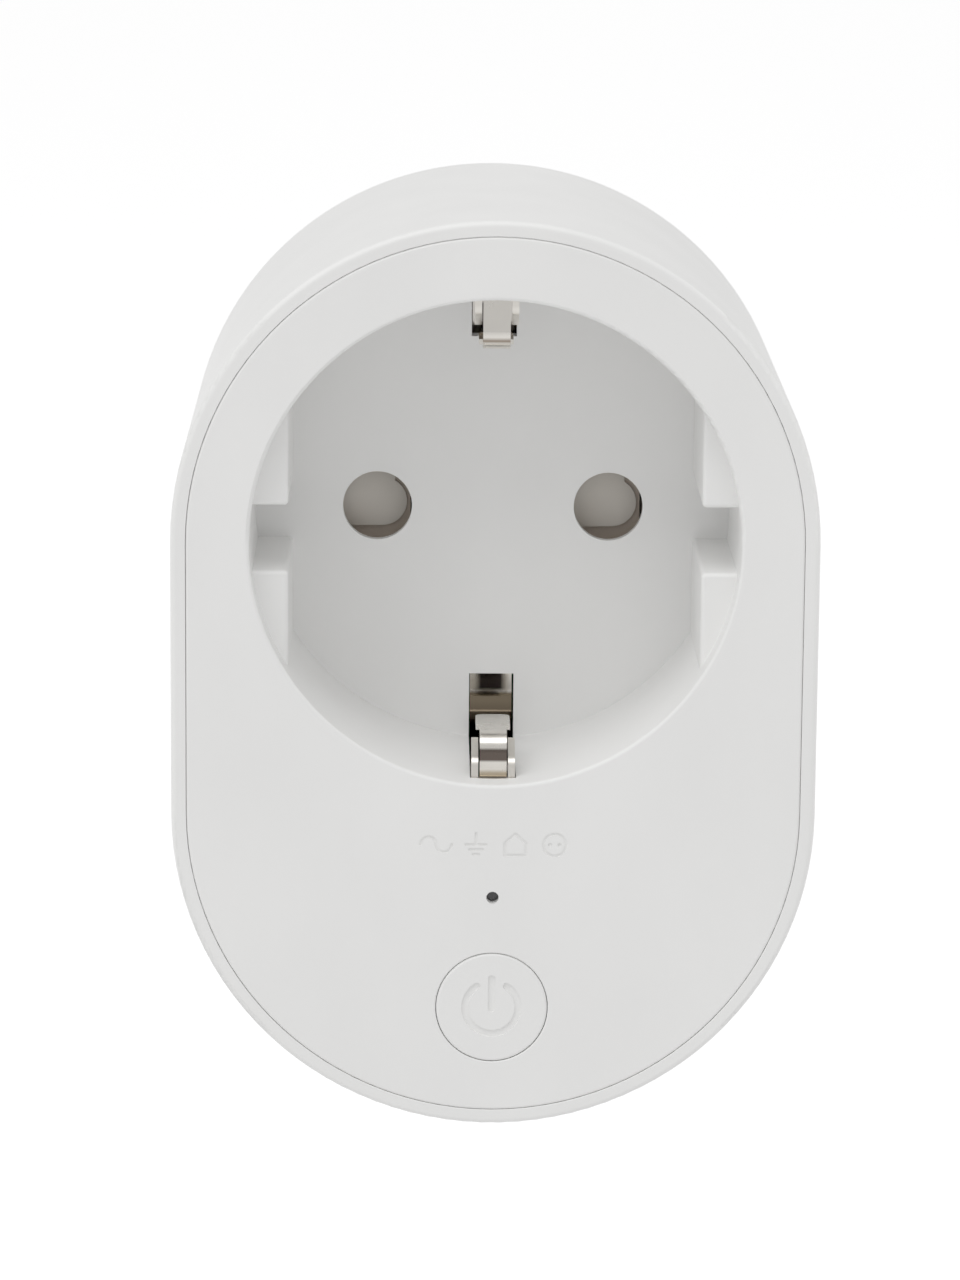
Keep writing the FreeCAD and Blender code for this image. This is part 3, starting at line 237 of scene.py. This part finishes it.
def board_finish():
    """Green solder mask over glass weave, with copper tracks showing through."""
    finish = Finish("green_board", BOARD, 0.3)
    tracks = finish.stretched(finish.cells(2.6), 0.0, 1.0, 0.46, 0.50)
    finish.colours(tracks, tinted(BOARD, 1.5), BOARD)
    finish.roughness(finish.noise(0.8), 0.24, 0.38)
    finish.relief(tracks, 0.02, 0.4)
    return finish.relief(finish.noise(0.3), 0.004)


def winding_finish():
    """Enamelled wire wound side by side across the X axis."""
    one_band_a_unit = 0.314  # the wave texture's scale
    wire = 0.28
    finish = Finish("copper_winding", COPPER, 0.3, metallic=0.8)
    turns = finish.node("ShaderNodeTexWave", bands_direction="X")
    turns.inputs["Scale"].default_value = one_band_a_unit
    turns.inputs["Distortion"].default_value = 0.4
    finish.link(finish.scaled(wire), turns.inputs["Vector"])
    finish.colours(turns.outputs["Fac"], tinted(COPPER, 0.55), tinted(COPPER, 1.15))
    return finish.relief(turns.outputs["Fac"], 0.1)


def fuse_finish():
    """Ceramic tube between two plated end caps."""
    low, high = (corner.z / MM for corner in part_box("mains_fuse"))
    ceramic, cap = (0.86, 0.84, 0.78), (0.66, 0.67, 0.68)
    cap_length = 2.0
    finish = Finish("fuse_ceramic", ceramic, 0.35)
    tube = finish.zone("Z", low + cap_length, high - cap_length)
    finish.colours(tube, cap, ceramic)
    metal = finish.stretched(tube, 1.0, 0.0, 0.0, 1.0)
    finish.link(metal, finish.shader.inputs["Metallic"])
    return finish.relief(finish.noise(0.4), 0.004)


def tongue_finish(side):
    """Bright nickel with darker stripes painted across it, between the nose and the root, as painted
    reflections.
    """
    # Painted reflections: these three colours stand in for reflections on the bent nickel, not for a
    # tint of the metal.
    painted_brown, painted_reflection_dark, painted_reflection_tan = (0.27, 0.215, 0.165), (0.13, 0.105, 0.09), (0.50, 0.42, 0.31)
    painted_light_bands = {  # each with its colour, its two edges along Z and how far they fade
        "top": ((painted_brown, 15.75, 16.05, 0.15),),
        "bottom": ((painted_reflection_dark, -18.12, -17.1, 0.1), (painted_reflection_tan, -19.6, -18.95, 0.15)),
    }
    finish = rolled(f"tongue_nickel_{side}", NICKEL, 0.24, along=1)
    for colour, low, high, blur in painted_light_bands[side]:
        finish.overlay(finish.band("Z", low, high, blur), colour)
    return finish


def strap_finish():
    """Plated strip, smoother where it lies behind the slots. There a dark stripe is painted along
    its middle as a reflection, and it is painted browner and darker further from the socket's axis
    as shade."""
    # The first colour is a painted reflection, the other two are painted shade.
    painted_reflection_patch, painted_brown, deep_painted_shade = (0.06, 0.05, 0.05), (0.20, 0.16, 0.11), (0.07, 0.05, 0.035)
    slot_depth, slot_blur = (-48.0, 0.0), 2.0  # along Y
    painted_reflection_sides, side_blur = (-1.08, 1.08), 0.25  # along X
    plain, smooth = 0.34, 0.08  # roughness
    finish = rolled("earth_strap_plate", NICKEL, 0.3, along=1)
    behind = finish.band("Y", *slot_depth, slot_blur)
    finish.link(finish.stretched(behind, plain, smooth, 0.0, 1.0), finish.shader.inputs["Roughness"])
    middle = finish.product(behind, finish.band("X", *painted_reflection_sides, side_blur))
    # Painted light: the reflection down the middle, and the shade further out behind the slots.
    painted_light_bands = (  # each with its place, its colour, its two distances from the axis and their blur
        (middle, painted_reflection_patch, 14.0, 16.35, 0.15),
        (behind, painted_brown, 16.6, 21.0, 0.12),
        (behind, deep_painted_shade, 18.2, 21.0, 0.9),
    )
    for side in (-1, 1):
        for place, colour, near, far, blur in painted_light_bands:
            low, high = sorted((side * near, side * far))
            finish.overlay(finish.product(place, finish.band("Z", low, high, blur)), colour)
    return finish


def shutter_finish():
    """Warm grey plastic, painted darker and browner on the plates behind the fingers as shade, and
    with a painted shadow at each finger's lower left."""
    # The second colour is painted shade on the plates, the third a painted shadow on the fingers.
    face, painted_shade_plate, corner = (0.70, 0.655, 0.59), (0.56, 0.47, 0.39), (0.44, 0.385, 0.325)
    pin_axis = 9.5
    shadow_bottom, shadow_top, height_blur = -5.0, -1.1, 1.6  # along Z
    shadow_left, shadow_right, width_blur = -4.0, -0.9, 1.8  # along X, from the pin's axis
    plate_front, plate_back, plate_blur = -37.7, -35.5, 0.04  # along Y
    finish = moulded("grey_shutter_plastic", face, 0.36, grain=0.25)
    # Painted shadow: darker at each finger's lower left, where the hole's edge would shade it.
    lower = finish.band("Z", shadow_bottom, shadow_top, height_blur)
    for pin_x in (-pin_axis, pin_axis):
        left = finish.band("X", pin_x + shadow_left, pin_x + shadow_right, width_blur)
        finish.overlay(finish.product(lower, left), corner)
    # Painted shade: the plates behind the fingers are coloured darker and browner than the fingers.
    return finish.overlay(finish.band("Y", plate_front, plate_back, plate_blur), painted_shade_plate)


def bobbin_finish():
    return moulded("bobbin_nylon", (0.80, 0.77, 0.68), 0.4)


def sleeve_finish():
    """Printed sleeve shrunk on an aluminium can, open at the crimped top."""
    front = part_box("electrolytic_capacitor")[0].y / MM
    sleeve, can = (0.035, 0.04, 0.055), (0.72, 0.73, 0.74)
    bare = 0.25
    finish = Finish("capacitor_sleeve", sleeve, 0.35)
    top = finish.zone("Y", front - bare, front + bare)
    finish.colours(top, sleeve, can)
    finish.link(top, finish.shader.inputs["Metallic"])
    return finish.relief(finish.noise(0.5), 0.006)


def inductor_finish():
    """Ferrite drum with enamelled wire between its flanges."""
    front, back = (corner.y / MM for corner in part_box("filter_inductor"))
    ferrite = (0.05, 0.05, 0.055)
    front_flange, back_flange = 1.0, 1.35
    finish = Finish("inductor_drum", ferrite, 0.55)
    wound = finish.zone("Y", front + front_flange, back - back_flange)
    finish.colours(wound, ferrite, COPPER)
    finish.link(wound, finish.shader.inputs["Metallic"])
    return finish.relief(finish.noise((2.0, 0.25, 2.0)), 0.05)


FINISHES = {
    "white_casing": moulded("white_casing", WHITE, 0.44),
    "white_button": moulded("white_button", WHITE, 0.42, grain=0.14),
    "grey_shutter_plastic": shutter_finish(),
    "black_plastic": moulded("black_plastic", (0.018, 0.018, 0.02), 0.42, grain=0.3),
    "smoked_light_pipe": moulded("smoked_light_pipe", (0.03, 0.03, 0.032), 0.12, Coat_Weight=0.6),
    "bright_nickel": rolled("bright_nickel", NICKEL, 0.17, along=1),
    "pin_nickel": turned("pin_nickel", (0.70, 0.69, 0.66), 0.24),
    "contact_bronze": rolled("contact_bronze", BRONZE, 0.26),
    "zinc_steel": turned("zinc_steel", ZINC, 0.3),
    "spring_steel": turned("spring_steel", (0.5, 0.5, 0.51), 0.28),
    "green_board": board_finish(),
    "tin_plate": rolled("tin_plate", (0.66, 0.67, 0.68), 0.3, along=0),
    "gold_trace": rolled("gold_trace", (0.80, 0.60, 0.27), 0.25),
    "copper_winding": winding_finish(),
    "dark_ferrite": moulded("dark_ferrite", (0.045, 0.045, 0.05), 0.6, grain=0.4, grain_depth=0.02),
    "relay_blue": moulded("relay_blue", (0.02, 0.09, 0.36), 0.28, grain=0.5),
    "capacitor_yellow": moulded("capacitor_yellow", (0.72, 0.47, 0.04), 0.3, grain=0.6),
    "capacitor_sleeve": sleeve_finish(),
    "varistor_blue": moulded("varistor_blue", (0.02, 0.12, 0.42), 0.25, grain=0.9, grain_depth=0.03),
    "fuse_ceramic": fuse_finish(),
    "diode_white": moulded("diode_white", (0.86, 0.84, 0.70), 0.2, grain=0.3),
}
HOUSING_GREY = moulded("housing_grey", (0.34, 0.315, 0.28), 0.4, grain=0.3)
OWN_FINISH = {
    "shutter_housing": HOUSING_GREY,
    "contact_carrier": HOUSING_GREY,
    "relay_bobbin": bobbin_finish(),
    "filter_inductor": inductor_finish(),
    "earth_strap": strap_finish(),
    "earth_tongue_top": tongue_finish("top"),
    "earth_tongue_bottom": tongue_finish("bottom"),
}

for subpart in frame["record"]["subparts"]:
    name = subpart["node"]
    finish = OWN_FINISH.get(name, FINISHES[subpart["material_slot"]])
    for material_slot in NODES[name].material_slots:
        material_slot.material = finish.material


# ---- springs ------------------------------------------------------------------------------------
def live_spring(node):
    """Shows a spring of the CAD model as a copy of its mesh, fixed to the casing, and hides the CAD
    node."""
    spring = bpy.data.objects.new(f"{node}_coil", NODES[node].data.copy())
    bpy.context.scene.collection.objects.link(spring)
    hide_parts(node)
    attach(spring, "casing")
    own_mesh(spring)


live_spring("button_spring")
live_spring("shutter_spring")


# ---- studio -------------------------------------------------------------------------------------
FLOOR_DROP = 250.0
FLOOR_HALF = 12000.0
FLOOR_GLOW = 0.5
GLOW_START = 0.0  # the place along Y where the floor's glow begins
GLOW_FULL = 450.0  # and the one from which it is full
WORLD_STRENGTH = 0.527
LIGHT_DISTANCE = 1500.0
LIGHT_SIZE = 900.0
VIEW_GAMMA = 1.15
middle = (cad_box[0] + cad_box[1]) / 2


def studio_floor():
    """Wide pale floor under the object, which glows like a backdrop behind it."""
    z = cad_box[0].z - FLOOR_DROP * MM
    half = FLOOR_HALF * MM
    mesh = bpy.data.meshes.new("studio_floor")
    corners = [(-half, -half, z), (half, -half, z), (half, half, z), (-half, half, z)]
    mesh.from_pydata(corners, [], [(0, 1, 2, 3)])
    floor = bpy.data.objects.new("studio_floor", mesh)
    bpy.context.scene.collection.objects.link(floor)
    finish = Finish("studio_floor", (0.9, 0.9, 0.9), 0.9)
    finish.shader.inputs["Emission Color"].default_value = (1, 1, 1, 1)
    split = finish.node("ShaderNodeSeparateXYZ")
    finish.link(finish.place, split.inputs["Vector"])
    glow = finish.stretched(split.outputs["Y"], 0.0, FLOOR_GLOW, GLOW_START * MM, GLOW_FULL * MM)
    finish.link(glow, finish.shader.inputs["Emission Strength"])
    finish.roughness(finish.noise(400.0), 0.85, 0.95)
    mesh.materials.append(finish.material)


def softbox(name, azimuth, elevation, power):
    """Square area light aimed at the object. Azimuth 0 is in front, 90 on its right."""
    light = bpy.data.lights.new(name, "AREA")
    light.shape = "SQUARE"
    light.size = LIGHT_SIZE * MM
    light.energy = power
    lamp = bpy.data.objects.new(name, light)
    bpy.context.scene.collection.objects.link(lamp)
    a, e = math.radians(azimuth), math.radians(elevation)
    away = Vector((math.sin(a) * math.cos(e), -math.cos(a) * math.cos(e), math.sin(e)))
    lamp.location = middle + away * LIGHT_DISTANCE * MM
    lamp.rotation_euler = away.to_track_quat("Z", "Y").to_euler()


studio_floor()
softbox("overhead", azimuth=0, elevation=60, power=3.6)
softbox("left_key", azimuth=-50, elevation=55, power=4.9)
softbox("left_low", azimuth=-75, elevation=20, power=0.9)
softbox("right_low", azimuth=100, elevation=20, power=2.5)

world = bpy.data.worlds.new("studio")
world.use_nodes = True
world.node_tree.nodes["Background"].inputs["Color"].default_value = (1, 1, 1, 1)
world.node_tree.nodes["Background"].inputs["Strength"].default_value = WORLD_STRENGTH
bpy.context.scene.world = world
bpy.context.scene.view_settings.view_transform = "Standard"
bpy.context.scene.view_settings.gamma = VIEW_GAMMA


# ---- camera -------------------------------------------------------------------------------------
CAMERA_AZIMUTH = -0.672  # degrees
CAMERA_ELEVATION = 11.783
CAMERA_ROLL = 0.483
CAMERA_DISTANCE = 411.16
CAMERA_TARGET = Vector((-1.174, -58.5, -7.631))
CAMERA_LENS = 145.74


def studio_camera():
    camera = bpy.data.cameras.new("studio_camera")
    camera.lens = CAMERA_LENS
    turn = Matrix.Rotation(math.radians(CAMERA_AZIMUTH), 4, "Z")
    tilt = Matrix.Rotation(math.radians(90 - CAMERA_ELEVATION), 4, "X")
    roll = Matrix.Rotation(math.radians(CAMERA_ROLL), 4, "Z")
    aim = turn @ tilt @ roll
    back = aim.to_3x3() @ Vector((0, 0, 1))
    holder = bpy.data.objects.new("studio_camera", camera)
    holder.matrix_world = Matrix.Translation((CAMERA_TARGET + back * CAMERA_DISTANCE) * MM) @ aim
    bpy.context.scene.collection.objects.link(holder)
    bpy.context.scene.camera = holder


studio_camera()
